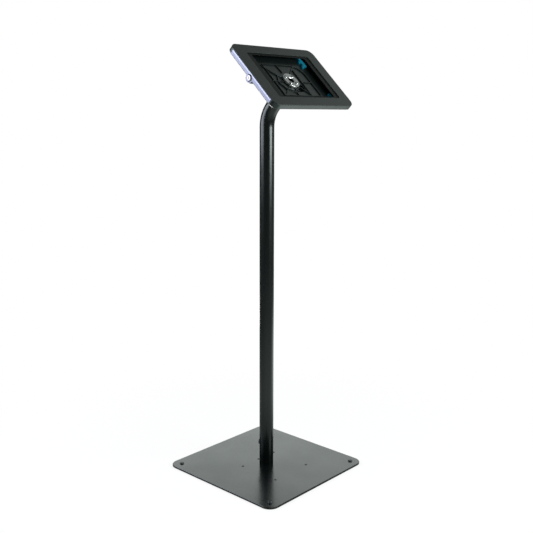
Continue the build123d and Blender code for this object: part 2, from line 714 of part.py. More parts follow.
def make_lock_cam():
    cam = side_disc(CAM_W / 2, cam_front, cam_back, 0, -LOCK_DEPTH)
    tip_z = CAM_REACH - CAM_W / 2 - LOCK_DEPTH
    cam += block((cam_front, cam_back), (-CAM_W / 2, CAM_W / 2), (-LOCK_DEPTH, tip_z))
    cam += side_disc(CAM_W / 2, cam_front, cam_back, 0, tip_z)
    half = CAM_SQUARE / 2 + SCREW_FIT
    hole_x = (cam_front - OVERRUN, cam_back + OVERRUN)
    return cam - block(hole_x, (-half, half), (-LOCK_DEPTH - half, -LOCK_DEPTH + half))


def make_cam_nut():
    nut = Pos(cam_back, 0, -LOCK_DEPTH) * Rot(0, 90, 0) * extrude(
        RegularPolygon(CAM_NUT_R, 6), amount=CAM_NUT_T
    )
    hole_r = CAM_STUD_R + SCREW_FIT
    return nut - side_disc(hole_r, cam_back - OVERRUN, cam_back + CAM_NUT_T + OVERRUN, 0, -LOCK_DEPTH)


# All pieces, by name: those of the stand are already in place

stand_pieces = {
    "base_plate": make_base_plate(),
    "foot_pads": make_foot_pads(),
    "foot_screws": make_foot_screws(),
    "pole_plug": make_pole_plug(),
    "pole_screws": make_pole_screws(),
    "pole_tube": make_pole_tube(),
    "cable_grommet": make_cable_grommet(),
}

case_pieces = {
    "swivel_flange": make_swivel_flange(),
    "swivel_stop_pin": make_stop_pin(),
    "rear_friction_washer": make_friction_washer(REAR_WASHER_R, flange_front, hub_back),
    "front_friction_washer": make_friction_washer(FRONT_WASHER_R, collar_top, boss_top),
    "clamp_ring": make_clamp_ring(),
    "clamp_screws": make_clamp_screws(),
    "rear_shell": make_rear_shell(),
    "faceplate": make_faceplate(),
    "case_screws": make_case_screws(),
    "window_mask": make_window_mask(),
    "foam_strips": make_foam_strips(),
    "stop_screws": make_stop_screws(),
    "catch_plate": make_catch_plate(),
    "catch_screws": make_catch_screws(),
    "side_bar": make_side_bar(),
    "lock_barrel": make_lock_barrel(),
    "lock_nut": make_lock_nut(),
    "lock_plug": make_lock_plug(),
    "lock_cam": make_lock_cam(),
    "cam_nut": make_cam_nut(),
}
for (corner, start), screw_place in zip(stop_starts.items(), stop_screw_places):
    case_pieces["tablet_stop_" + corner] = make_stop(*start, screw_place)


def as_one(shape):
    """Several equal pieces are kept together under one name."""
    return Compound(children=shape) if isinstance(shape, list) else shape


os.makedirs("parts", exist_ok=True)
for name, shape in stand_pieces.items():
    export_step(as_one(shape), "parts/" + name + ".step")
for name, shape in case_pieces.items():
    export_step(case_frame * as_one(shape), "parts/" + name + ".step")
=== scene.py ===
"""Looks of a floor-standing tablet kiosk: its finishes, its soft and welded trim, and its studio."""

import json
import math

import bmesh
import bpy
from mathutils import Matrix, Vector, noise


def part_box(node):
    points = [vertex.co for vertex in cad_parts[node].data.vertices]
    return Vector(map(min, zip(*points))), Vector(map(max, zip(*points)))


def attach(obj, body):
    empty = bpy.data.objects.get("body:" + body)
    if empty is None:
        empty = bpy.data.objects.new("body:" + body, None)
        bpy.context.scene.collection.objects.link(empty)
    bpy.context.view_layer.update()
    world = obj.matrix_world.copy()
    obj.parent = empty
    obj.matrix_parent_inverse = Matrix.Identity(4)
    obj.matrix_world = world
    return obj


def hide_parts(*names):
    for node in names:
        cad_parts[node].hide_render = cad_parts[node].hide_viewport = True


bl_info = {
    "name": "Tablet Kiosk Stand",
    "version": (1, 0, 0),
    "blender": (4, 5, 0),
    "location": "View3D > Sidebar > Kiosk",
    "description": "Finishes, soft trim and studio for a floor-standing tablet kiosk",
    "category": "Add Mesh",
}

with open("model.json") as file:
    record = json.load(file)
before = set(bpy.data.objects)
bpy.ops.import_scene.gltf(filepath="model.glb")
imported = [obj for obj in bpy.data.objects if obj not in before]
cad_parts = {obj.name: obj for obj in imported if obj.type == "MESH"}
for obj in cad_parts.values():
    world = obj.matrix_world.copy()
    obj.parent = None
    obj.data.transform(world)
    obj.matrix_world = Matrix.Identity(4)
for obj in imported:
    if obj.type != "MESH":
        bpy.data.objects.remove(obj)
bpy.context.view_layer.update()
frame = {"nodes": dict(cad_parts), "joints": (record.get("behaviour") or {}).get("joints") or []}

MM = 0.001
UP = Vector((0, 0, 1))

# Gloss of the powder coat, the gloss left at the pole's foot as painted shade, and the heights over which it
# grows
COAT_SHINE = 0.46
COAT_FOOT_PAINTED_SHADE_SHINE = 0.03
COAT_FOOT_RISE = (25 * MM, 100 * MM)

# Width of the painted highlight, a brighter strip along the side bar's front edge, and of its blurred edge
BAR_HIGHLIGHT_WIDTH = 4 * MM
BAR_HIGHLIGHT_FADE = 1 * MM

# Weld bead: points round it, and how its ripples, its unevenness and its hollow face change its leg
WELD_STEPS_PER_RIPPLE = 4
WELD_RIPPLE_SHARE = 0.14
WELD_UNEVEN_SHARE = 0.06
WELD_UNEVEN_SCALE = 3
WELD_SECTION_SHARES = (0, 0.25, 0.5, 0.75, 1)
WELD_HOLLOW_SHARE = 0.72
WELD_INTO_NECK = 0.1 * MM
WELD_INTO_FLANGE = 0.05 * MM

# Soft strips: how far their sides draw in, the rounding of their edges, and how they swell
FOAM_SIDE_GAP = 0.1 * MM
FOAM_EDGE_STEPS = 4
FOAM_EDGE_PROFILE = 0.6
FOAM_LONG_EDGE_WIDTHS = 4
FOAM_SWELL_SCALE = 140
FOAM_SWELL_SHARE = 0.15

# Rounding of the lock's wafers
WAFER_EDGE = 0.08 * MM
WAFER_EDGE_STEPS = 2

# Backdrop and skirt in reflections: their middle as shares of the view's heading and its right, the
# upward parts of a direction between which they fade in or out, and how squarely it has to point at them
BACKDROP_FACING_SHARES = (0.94, 0.34)
BACKDROP_RISE = (0.06, 0.3)
BACKDROP_FALL = (0.47, 0.79)
BACKDROP_SIDES = (0.35, 0.75)
SKIRT_FACING_SHARES = (0.6, 0.8)
SKIRT_FALL = (0.75, 0.92)
SKIRT_SIDES = (0.3, 0.9)

# Colours of the studio's paper, and the points of the floor's edge
PAPER = (0.9, 0.9, 0.9, 1)
WHITE = (1, 1, 1, 1)
FLOOR_POINTS = 128

# Distances from the stand over which the floor turns white, and over which its glow grows to the full out of
# the painted shadow at the stand's foot
FLOOR_WHITE_SPAN = (0.35, 1.0)
FOOT_PAINTED_SHADOW_SPAN = (0.3, 0.6)

# Radius of the even core of a painted pool of light on the floor, and the power by which it fades outside it
LIGHT_POOL_CORE = 0.3
LIGHT_POOL_FALL_POWER = 1.7


# Places read from the frame

def joint(name):
    """A joint of the stand by its name."""
    return next(entry for entry in frame["joints"] if entry["name"] == name)


def reach(node, axis):
    """Lowest and highest station of a node's points along an axis."""
    stations = [point.co.dot(axis) for point in frame["nodes"][node].data.vertices]
    return min(stations), max(stations)


def case_axes():
    """Across, up and out of the enclosure's screen."""
    across = Vector((1, 0, 0))
    out = Vector(joint("enclosure_swivel")["axis"]).normalized()
    return across, out.cross(across), out


def case_place():
    """Transform of the enclosure's own frame, with its origin on the faceplate, in line with the swivel."""
    across, up, out = case_axes()
    pivot = Vector(joint("enclosure_swivel")["pos_m"])
    origin = pivot + out * (reach("faceplate", out)[1] - pivot.dot(out))
    place = Matrix((across, up, out)).transposed().to_4x4()
    place.translation = origin
    return place


def case_box(node):
    """Lowest and highest corner of a node in the enclosure's own frame."""
    inward = case_place().inverted()
    points = [inward @ point.co for point in frame["nodes"][node].data.vertices]
    low = Vector(min(point[axis] for point in points) for axis in range(3))
    high = Vector(max(point[axis] for point in points) for axis in range(3))
    return low, high


# Materials

class Wiring:
    """A node tree under construction: it makes nodes, sets their values and links them."""

    def __init__(self, tree):
        self.tree = tree

    def node(self, kind, settings=(), **inputs):
        """A new node with its settings by attribute, and its inputs by socket name."""
        made = self.tree.nodes.new(kind)
        for name, value in dict(settings).items():
            setattr(made, name, value)
        for name, value in inputs.items():
            made.inputs[name.replace("_", " ")].default_value = value
        return made

    def link(self, output, target):
        """Feeds an output to a target socket."""
        self.tree.links.new(output, target)

    def station(self, place, axis):
        """Station of a linked place or direction along an axis."""
        made = self.node("ShaderNodeVectorMath", {"operation": "DOT_PRODUCT"})
        made.inputs[1].default_value = axis
        self.link(place, made.inputs[0])
        return made.outputs["Value"]


class Finish(Wiring):
    """The nodes of one material round its shader."""

    def __init__(self, name):
        self.material = bpy.data.materials.new(name)
        self.material.use_nodes = True
        super().__init__(self.material.node_tree)
        self.shader = self.tree.nodes["Principled BSDF"]
        self.place = self.node("ShaderNodeTexCoord").outputs["Object"]

    def set(self, **inputs):
        """Sets values of the shader that are the same all over."""
        for name, value in inputs.items():
            self.shader.inputs[name.replace("_", " ")].default_value = value

    def stretched(self, lengths, turn=(0, 0, 0)):
        """Coordinates in a turned frame, where marks are longer along an axis by its length."""
        mapping = self.node("ShaderNodeMapping", {"vector_type": "TEXTURE"}, Scale=lengths, Rotation=turn)
        self.link(self.place, mapping.inputs["Vector"])
        return mapping.outputs["Vector"]

    def noise(self, scale, detail=3, place=None):
        """Cloudy pattern, finer at a larger scale."""
        made = self.node("ShaderNodeTexNoise", Scale=scale, Detail=detail)
        self.link(place or self.place, made.inputs["Vector"])
        return made.outputs["Fac"]

    def cells(self, scale):
        """Distance from the middles of scattered cells, smaller at a larger scale."""
        made = self.node("ShaderNodeTexVoronoi", Scale=scale)
        self.link(self.place, made.inputs["Vector"])
        return made.outputs["Distance"]

    def spread(self, value, low=0, high=1, start=0.3, end=0.7):
        """Maps a value between start and end to the span from low to high."""
        made = self.node("ShaderNodeMapRange", From_Min=start, From_Max=end, To_Min=low, To_Max=high)
        self.link(value, made.inputs["Value"])
        return made.outputs["Result"]

    def tint(self, value, dark, light):
        """Colour between two others, along a value."""
        made = self.node("ShaderNodeMix", {"data_type": "RGBA"})
        made.inputs["A"].default_value = (*dark, 1)
        made.inputs["B"].default_value = (*light, 1)
        self.link(value, made.inputs["Factor"])
        return made.outputs["Result"]

    def blend(self, value, under, light):
        """A linked colour that gives way to a constant one, along a value."""
        made = self.node("ShaderNodeMix", {"data_type": "RGBA"})
        self.link(under, made.inputs["A"])
        made.inputs["B"].default_value = (*light, 1)
        self.link(value, made.inputs["Factor"])
        return made.outputs["Result"]

    def grain(self, height, strength, depth, under=None):
        """Bump of a given depth, over another normal if there is one."""
        made = self.node("ShaderNodeBump", Strength=strength, Distance=depth)
        self.link(height, made.inputs["Height"])
        if under is not None:
            self.link(under, made.inputs["Normal"])
        return made.outputs["Normal"]

    def soft_edges(self, radius):
        """Normal that rounds sharp edges by a small radius."""
        return self.node("ShaderNodeBevel", {"samples": 4}, Radius=radius).outputs["Normal"]

    def wear(self, colour, roughness, normal):
        """Links what varies over the surface to the shader."""
        self.link(colour, self.shader.inputs["Base Color"])
        self.link(roughness, self.shader.inputs["Roughness"])
        self.link(normal, self.shader.inputs["Normal"])
        return self.material


def shaded(colour, share):
    """The colour with every channel multiplied by a share."""
    return [min(1.0, channel * share) for channel in colour]


def powder_coat(colours, name="powder_coat", foot=None):
    """Satin black powder coat with a fine orange peel and faint hand smudges, its gloss lowered towards a
    foot as painted shade.
    """
    finish = Finish(name)
    finish.set(IOR=1.5, Specular_IOR_Level=COAT_SHINE)
    if foot is not None:
        start, end = (foot + rise for rise in COAT_FOOT_RISE)
        # Painted shade: the coat's gloss falls towards the foot, which darkens the reflections there
        shine = finish.spread(finish.station(finish.place, UP), COAT_FOOT_PAINTED_SHADE_SHINE, COAT_SHINE, start, end)
        finish.link(shine, finish.shader.inputs["Specular IOR Level"])
        # Painted reflection: the pole's gloss is tinted with the room's light
        finish.set(Specular_Tint=(*colours.pole_painted_reflection_tint, 1))
    smudge = finish.noise(scale=7, detail=4)
    peel = finish.noise(scale=620, detail=2)
    dark = colours.steel_coat
    colour = finish.tint(finish.spread(smudge), dark, shaded(dark, 1.35))
    roughness = finish.spread(smudge, low=0.19, high=0.25, start=0.35, end=0.65)
    normal = finish.grain(peel, strength=0.08, depth=0.15 * MM, under=finish.soft_edges(0.5 * MM))
    return finish.wear(colour, roughness, normal)


def satin_sheet(colours):
    """Finely textured satin coat on the aluminium faceplate."""
    finish = Finish("satin_sheet")
    # Painted reflection: the faceplate's gloss is tinted with the room's light
    finish.set(IOR=1.5, Specular_IOR_Level=0.5, Specular_Tint=(*colours.face_painted_reflection_tint, 1))
    cloud = finish.noise(scale=11, detail=3)
    texture = finish.noise(scale=1100, detail=2)
    dark = colours.faceplate_coat
    colour = finish.tint(finish.spread(cloud), dark, shaded(dark, 1.25))
    roughness = finish.spread(cloud, low=0.4, high=0.46)
    normal = finish.grain(texture, strength=0.15, depth=0.08 * MM, under=finish.soft_edges(0.8 * MM))
    return finish.wear(colour, roughness, normal)


def moulded_plastic(name, dark, gloss, shine=0.5, painted_reflection_tint=(1, 1, 1)):
    """Moulded plastic with a spark-eroded texture and slight flow marks."""
    finish = Finish(name)
    # A gloss tint other than white is a painted tint of the room's light in the reflections
    finish.set(IOR=1.48, Specular_IOR_Level=shine, Specular_Tint=(*painted_reflection_tint, 1))
    flow = finish.noise(scale=26, detail=3, place=finish.stretched((1, 3, 3)))
    texture = finish.noise(scale=1500, detail=2)
    colour = finish.tint(finish.spread(flow), dark, shaded(dark, 1.3))
    roughness = finish.spread(flow, low=gloss, high=gloss + 0.07)
    normal = finish.grain(texture, strength=0.2, depth=0.06 * MM, under=finish.soft_edges(0.6 * MM))
    return finish.wear(colour, roughness, normal)


def satin_aluminium(colours):
    """Anodised aluminium with brush lines along the bar, and a painted highlight: a brighter strip along its
    front edge.
    """
    finish = Finish("satin_aluminium")
    finish.set(Metallic=1.0)
    out = case_axes()[2]
    tilt = math.atan2(-out.y, out.z)
    lines = finish.noise(scale=900, detail=2, place=finish.stretched((1, 60, 1), (tilt, 0, 0)))
    light = colours.bar_metal
    colour = finish.tint(finish.spread(lines), shaded(light, 0.9), light)
    # Painted highlight: a lighter colour in a strip along the bar's front edge
    highlight_start = reach("side_bar", out)[1] - BAR_HIGHLIGHT_WIDTH
    station = finish.station(finish.place, out)
    strip = finish.spread(station, start=highlight_start - BAR_HIGHLIGHT_FADE, end=highlight_start)
    colour = finish.blend(strip, colour, colours.bar_painted_highlight)
    roughness = finish.spread(lines, low=0.5, high=0.56)
    normal = finish.grain(lines, strength=0.03, depth=0.02 * MM, under=finish.soft_edges(0.4 * MM))
    return finish.wear(colour, roughness, normal)


def polished_chrome(name, light, polish):
    """Chrome with hairline scratches."""
    finish = Finish(name)
    finish.set(Metallic=1.0)
    haze = finish.noise(scale=180, detail=3)
    hairlines = finish.noise(scale=2400, detail=1, place=finish.stretched((1, 12, 1), (0, 0, 0.6)))
    colour = finish.tint(finish.spread(haze), shaded(light, 0.85), light)
    roughness = finish.spread(haze, low=polish, high=polish + 0.05)
    normal = finish.grain(hairlines, strength=0.05, depth=0.02 * MM, under=finish.soft_edges(0.25 * MM))
    return finish.wear(colour, roughness, normal)


def zinc_plate(colours):
    """Zinc-plated steel with soft crystals."""
    finish = Finish("zinc_plate")
    finish.set(Metallic=1.0)
    crystal = finish.cells(scale=420)
    light = colours.zinc
    colour = finish.tint(finish.spread(crystal, start=0.1, end=0.6), shaded(light, 0.8), light)
    roughness = finish.spread(crystal, low=0.28, high=0.42, start=0.1, end=0.6)
    normal = finish.grain(crystal, strength=0.1, depth=0.03 * MM, under=finish.soft_edges(0.2 * MM))
    return finish.wear(colour, roughness, normal)


def black_oxide(colours):
    """Blackened steel, as on the round-headed screws of the floor plate."""
    finish = Finish("black_oxide")
    finish.set(Metallic=0.6)
    patch = finish.noise(scale=300, detail=3)
    dark = colours.dark_screws
    colour = finish.tint(finish.spread(patch), dark, shaded(dark, 1.8))
    roughness = finish.spread(patch, low=0.22, high=0.34)
    normal = finish.grain(patch, strength=0.1, depth=0.02 * MM, under=finish.soft_edges(0.25 * MM))
    return finish.wear(colour, roughness, normal)


def soft_rubber(name, dark, pores):
    """Matt rubber or foam with open pores, whose middles are painted darker as shade."""
    finish = Finish(name)
    finish.set(IOR=1.45, Specular_IOR_Level=0.3)
    pore = finish.cells(scale=pores)
    # Painted shade: the colour darkens towards the middles of the pores
    colour = finish.tint(finish.spread(pore, start=0.05, end=0.5), shaded(dark, 0.5), dark)
    roughness = finish.spread(pore, low=0.95, high=0.75, start=0.05, end=0.5)
    return finish.wear(colour, roughness, finish.grain(pore, strength=0.4, depth=0.2 * MM))


def plain_nylon(colours):
    """Natural nylon with turning marks."""
    finish = Finish("plain_nylon")
    finish.set(IOR=1.53, Subsurface_Weight=0.1)
    marks = finish.noise(scale=500, detail=2)
    light = colours.nylon
    colour = finish.tint(finish.spread(marks), shaded(light, 0.88), light)
    roughness = finish.spread(marks, low=0.4, high=0.55)
    return finish.wear(colour, roughness, finish.grain(marks, strength=0.15, depth=0.05 * MM))


def dress(nodes, material):
    """Gives CAD nodes one finish."""
    for name in nodes:
        slots = frame["nodes"][name].data.materials
        slots.clear()
        slots.append(material)


# Pieces

def link_scene(thing):
    """Adds an object to the scene."""
    bpy.context.scene.collection.objects.link(thing)
    return thing


def new_piece(name, mesh_data, material, body):
    """A finished piece of the object that rides on a body."""
    mesh = bpy.data.meshes.new(name)
    mesh_data.to_mesh(mesh)
    mesh_data.free()
    mesh.materials.append(material)
    mesh.shade_smooth()
    piece = link_scene(bpy.data.objects.new(name, mesh))
    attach(piece, body)
    return piece


def weld_bead(sizes):
    """Ring of overlapping weld ripples in the corner between the neck and its flange."""
    out = case_axes()[2]
    neck_end = reach("pole_tube", out)[1]
    place = case_place()
    station = neck_end - place.translation.dot(out)
    radius = (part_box("pole_tube")[1].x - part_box("pole_tube")[0].x) / 2
    steps = sizes.weld_ripples * WELD_STEPS_PER_RIPPLE
    bead = bmesh.new()
    rings = []
    for step in range(steps):
        turn = 2 * math.pi * step / steps
        spoke = Vector((math.cos(turn), math.sin(turn), 0))
        ripple = 1 + WELD_RIPPLE_SHARE * abs(math.sin(turn * sizes.weld_ripples / 2))
        uneven = 1 + WELD_UNEVEN_SHARE * noise.noise(spoke * WELD_UNEVEN_SCALE)
        leg = sizes.weld_leg * ripple * uneven
        corner = spoke * (radius - WELD_INTO_NECK) + UP * (station + WELD_INTO_FLANGE)
        ring = [bead.verts.new(place @ corner)]
        for share in WELD_SECTION_SHARES:
            swing = share * math.pi / 2
            crown = WELD_HOLLOW_SHARE + (1 - WELD_HOLLOW_SHARE) * abs(math.cos(2 * swing))
            offset = spoke * math.sin(swing) - UP * math.cos(swing)
            ring.append(bead.verts.new(place @ (corner + offset * leg * crown)))
        rings.append(ring)
    for ring, following in zip(rings, rings[1:] + rings[:1]):
        for index, point in enumerate(ring):
            after = (index + 1) % len(ring)
            bead.faces.new((point, ring[after], following[after], following[index]))
    bmesh.ops.recalc_face_normals(bead, faces=bead.faces)
    return bead


def foam_strips(sizes):
    """Four soft strips with rounded edges, in the places of the plain ones."""
    low, high = case_box("foam_strips")
    place = case_place()
    width = sizes.foam_width
    middle = (low + high) / 2
    span = high - low
    upright = Vector((width, span.y - 2 * width, span.z))
    level = Vector((span.x - 2 * width, width, span.z))
    gap = Vector((2 * FOAM_SIDE_GAP, 2 * FOAM_SIDE_GAP, 0))
    runs = []
    for side, edge in ((-1, low), (1, high)):
        runs.append((Vector((edge.x - side * width / 2, middle.y, middle.z)), upright))
        runs.append((Vector((middle.x, edge.y - side * width / 2, middle.z)), level))
    strips = bmesh.new()
    for centre, size in runs:
        shape = Matrix.Translation(centre) @ Matrix.Diagonal((*(size - gap), 1))
        made = bmesh.ops.create_cube(strips, size=1, matrix=shape)
        edges = list({edge for point in made["verts"] for edge in point.link_edges})
        bmesh.ops.bevel(
            strips, geom=edges, offset=sizes.foam_edge, segments=FOAM_EDGE_STEPS,
            profile=FOAM_EDGE_PROFILE, affect="EDGES",
        )
    long_edge = FOAM_LONG_EDGE_WIDTHS * width
    long_edges = [edge for edge in strips.edges if edge.calc_length() > long_edge]
    bmesh.ops.subdivide_edges(strips, edges=long_edges, cuts=sizes.foam_waves, use_grid_fill=True)
    for point in strips.verts:
        swell = noise.noise(point.co * FOAM_SWELL_SCALE) * sizes.foam_edge * FOAM_SWELL_SHARE
        point.co.z = min(high.z, max(low.z, point.co.z + swell))
        point.co = place @ point.co
    return strips


def lock_wafers(sizes):
    """Stack of thin wafers that shows in the bottom of the keyway."""
    along = Vector(joint("lock_turn")["axis"]).normalized()
    centre = Vector(joint("lock_turn")["pos_m"])
    front = reach("lock_plug", along)[1]
    spin = Matrix((along.cross(UP), UP, along)).transposed().to_4x4()
    form = Matrix.Diagonal((sizes.wafer_width, sizes.wafer_height, sizes.wafer_thickness, 1))
    wafers = bmesh.new()
    for index in range(sizes.wafer_count):
        depth = sizes.wafer_depth + index * sizes.wafer_pitch
        offset = (index % 2 - 0.5) * sizes.wafer_step
        middle = centre + along * (front - depth - centre.dot(along)) + UP * offset
        shape = Matrix.Translation(middle) @ spin @ form
        made = bmesh.ops.create_cube(wafers, size=1, matrix=shape)
        edges = list({edge for point in made["verts"] for edge in point.link_edges})
        bmesh.ops.bevel(
            wafers, geom=edges, offset=WAFER_EDGE, segments=WAFER_EDGE_STEPS, affect="EDGES"
        )
    return wafers


# Values that a user would change

class KioskSizes(bpy.types.PropertyGroup):
    """Sizes of the trim that is added round the fixed frame."""

    weld_leg: bpy.props.FloatProperty(
        name="Weld leg", description="Reach of the weld bead on the flange and the neck",
        default=2.6 * MM, min=0.5 * MM, max=6 * MM, unit="LENGTH", precision=4,
    )
    weld_ripples: bpy.props.IntProperty(
        name="Weld ripples", description="Ripples in the weld bead, once round", default=46, min=8, max=120,
    )
    foam_width: bpy.props.FloatProperty(
        name="Foam width", description="Width of the soft strips behind the window mask",
        default=9 * MM, min=2 * MM, max=20 * MM, unit="LENGTH", precision=4,
    )
    foam_edge: bpy.props.FloatProperty(
        name="Foam edge", description="Rounding of the soft strips",
        default=0.6 * MM, min=0.1 * MM, max=0.9 * MM, unit="LENGTH", precision=4,
    )
    foam_waves: bpy.props.IntProperty(
        name="Foam waves", description="Points along each strip that let it swell unevenly",
        default=16, min=2, max=60,
    )
    wafer_count: bpy.props.IntProperty(
        name="Wafers", description="Lock wafers that show in the keyway", default=4, min=1, max=8,
    )
    wafer_depth: bpy.props.FloatProperty(
        name="Wafer depth", description="Depth of the first wafer behind the plug's face",
        default=1.6 * MM, min=0.5 * MM, max=6 * MM, unit="LENGTH", precision=4,
    )
    wafer_pitch: bpy.props.FloatProperty(
        name="Wafer pitch", description="Distance from one wafer to the next",
        default=1.5 * MM, min=0.5 * MM, max=4 * MM, unit="LENGTH", precision=4,
    )
    wafer_step: bpy.props.FloatProperty(
        name="Wafer step", description="Difference in height between neighbouring wafers",
        default=1 * MM, min=0, max=3 * MM, unit="LENGTH", precision=4,
    )
    wafer_width: bpy.props.FloatProperty(
        name="Wafer width", description="Width of a wafer across the keyway",
        default=1.36 * MM, min=0.3 * MM, max=3 * MM, unit="LENGTH", precision=4,
    )
    wafer_height: bpy.props.FloatProperty(
        name="Wafer height", description="Height of a wafer along the keyway",
        default=3.2 * MM, min=1 * MM, max=6 * MM, unit="LENGTH", precision=4,
    )
    wafer_thickness: bpy.props.FloatProperty(
        name="Wafer thickness", description="Thickness of a wafer",
        default=0.7 * MM, min=0.2 * MM, max=1.4 * MM, unit="LENGTH", precision=4,
    )


def colour_property(name, description, default):
    """Colour that a user can change."""
    return bpy.props.FloatVectorProperty(
        name=name, description=description, default=default, subtype="COLOR", size=3, min=0, max=1,
    )


class KioskColours(bpy.types.PropertyGroup):
    """Colours of the finishes."""

    steel_coat: colour_property(
        "Steel coat", "Powder coat on the floor plate, pole and flange", (0.0018, 0.0028, 0.0025)
    )
    faceplate_coat: colour_property(
        "Faceplate coat", "Coat on the front of the enclosure", (0.006, 0.0082, 0.0077)
    )
    shell_plastic: colour_property("Shell plastic", "Moulded tray", (0.0035, 0.0055, 0.0052))
    mask_plastic: colour_property("Mask plastic", "Window mask", (0.0028, 0.0032, 0.003))
    stop_plastic: colour_property("Stop plastic", "Moulded tablet stops", (0.002, 0.12, 0.18))
    bar_metal: colour_property("Bar metal", "Anodised side bar", (0.205, 0.213, 0.262))
    # Painted highlight along the bar's front edge
    bar_painted_highlight: colour_property("Bar strip", "Brighter strip along the bar's front edge", (0.33, 0.345, 0.43))
    # Painted reflections: these gloss tints lay the colour of the room's light on the coats and plastics
    pole_painted_reflection_tint: colour_property("Pole gloss", "Tint of the gloss on the pole", (0.93, 1.0, 0.99))
    face_painted_reflection_tint: colour_property("Face gloss", "Tint of the gloss on the faceplate", (0.88, 1.0, 0.97))
    tray_painted_reflection_tint: colour_property("Tray gloss", "Tint of the gloss on the black plastic", (0.82, 1.0, 0.98))
    chrome: colour_property("Chrome", "Ring and its screws", (0.7, 0.705, 0.71))
    # Painted shade: a darker copy of the chrome, for the lock's dark face
    lock_shaded_chrome: colour_property("Lock chrome", "Lock barrel and plug", (0.24, 0.23, 0.25))
    zinc: colour_property("Zinc", "Hidden screws and plates", (0.55, 0.56, 0.58))
    dark_screws: colour_property("Dark screws", "Blackened screws", (0.02, 0.022, 0.024))
    rubber: colour_property("Rubber", "Feet and cable grommet", (0.018, 0.018, 0.018))
    foam: colour_property("Foam", "Soft strips behind the mask", (0.03, 0.03, 0.031))
    nylon: colour_property("Nylon", "Friction washers", (0.72, 0.71, 0.66))


class KioskStudio(bpy.types.PropertyGroup):
    """Camera, room and floor."""

    camera_place: bpy.props.FloatVectorProperty(
        name="Camera place", description="Where the camera stands",
        default=(-1.5777, -1.4606, 1.0032), size=3, subtype="XYZ", unit="LENGTH", precision=4,
    )
    camera_heading: bpy.props.FloatProperty(
        name="Camera heading", description="Turn of the view about the vertical",
        default=math.radians(-47.19), subtype="ANGLE",
    )
    camera_dip: bpy.props.FloatProperty(
        name="Camera dip", description="How far the view points down",
        default=math.radians(10.97), subtype="ANGLE",
    )
    camera_roll: bpy.props.FloatProperty(
        name="Camera roll", description="Turn of the view about its own axis",
        default=math.radians(0.11), subtype="ANGLE",
    )
    camera_lens: bpy.props.FloatProperty(
        name="Camera lens", description="Focal length on a 36 mm frame, in millimetres", default=53.43,
    )
    ambient: bpy.props.FloatProperty(
        name="Ambient", description="Even light from all round", default=0.4, min=0,
    )
    tint: bpy.props.FloatVectorProperty(
        name="Room tint", description="Colour of the room in reflections",
        default=(0.92, 1.0, 0.97), subtype="COLOR", size=3, min=0, max=1,
    )
    room: bpy.props.FloatProperty(
        name="Room", description="Brightness of the room in reflections, away from the backdrop",
        default=0.13, min=0,
    )
    backdrop: bpy.props.FloatProperty(
        name="Backdrop", description="Brightness of the white backdrop in reflections",
        default=0.9, min=0, max=1,
    )
    skirt: bpy.props.FloatProperty(
        name="Skirt", description="Brightness of the room beside the backdrop, to its right, in reflections",
        default=0.25, min=0,
    )
    floor_size: bpy.props.FloatProperty(
        name="Floor size", description="Radius of the floor", default=3.0, min=1, unit="LENGTH",
    )
    floor_share: bpy.props.FloatProperty(
        name="Floor white", description="How much of the floor by the stand is plain white to the camera",
        default=0.85, min=0, max=1, subtype="FACTOR",
    )
    # Painted pools of light on the floor, seen in reflections
    floor_painted_glow: bpy.props.FloatProperty(
        name="Floor glow", description="Brightness of the floor round the stand in reflections",
        default=0.85, min=0,
    )
    floor_painted_spot: bpy.props.FloatProperty(
        name="Floor spot", description="Extra brightness of the floor behind, to the right, in reflections",
        default=1.42, min=0,
    )
    # Painted shadow round the stand's foot on the floor, seen in reflections
    foot_painted_shadow: bpy.props.FloatProperty(
        name="Foot dimming", description="Share of the floor's glow left beside the stand, in reflections",
        default=0.6, min=0, max=1, subtype="FACTOR",
    )


# Operators, one for each group of pieces

def scene_sizes():
    """The sizes that are set in the scene."""
    return bpy.context.scene.kiosk_sizes


def scene_colours():
    """The colours that are set in the scene."""
    return bpy.context.scene.kiosk_colours


class KIOSK_OT_floor_base(bpy.types.Operator):
    """Finish the floor plate, its feet and its screws"""

    bl_idname = "kiosk.floor_base"
    bl_label = "Floor base"

    def execute(self, context):
        dress(["base_plate"], powder_coat(scene_colours()))
        dress(["foot_pads"], soft_rubber("foot_rubber", scene_colours().rubber, pores=900))
        dress(["foot_screws", "pole_screws"], black_oxide(scene_colours()))
        dress(["pole_plug"], zinc_plate(scene_colours()))
        return {"FINISHED"}


class KIOSK_OT_pole(bpy.types.Operator):
    """Finish the bent pole, its cable grommet and the weld at its neck"""

    bl_idname = "kiosk.pole"
    bl_label = "Pole"

    def execute(self, context):
        coat = powder_coat(scene_colours())
        dress(["swivel_flange"], coat)
        dress(["pole_tube"], powder_coat(scene_colours(), "pole_coat", foot=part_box("pole_tube")[0].z))
        dress(["cable_grommet"], soft_rubber("grommet_rubber", scene_colours().rubber, pores=1400))
        new_piece("neck_weld", weld_bead(scene_sizes()), coat, "stand")
        return {"FINISHED"}


class KIOSK_OT_swivel(bpy.types.Operator):
    """Finish the swivel: washers, stop pin, clamp ring and its screws"""

    bl_idname = "kiosk.swivel"
    bl_label = "Swivel"

    def execute(self, context):
        chrome = polished_chrome("ring_chrome", scene_colours().chrome, polish=0.12)
        dress(["clamp_ring", "clamp_screws"], chrome)
        dress(["rear_friction_washer", "front_friction_washer"], plain_nylon(scene_colours()))
        dress(["swivel_stop_pin"], zinc_plate(scene_colours()))
        return {"FINISHED"}


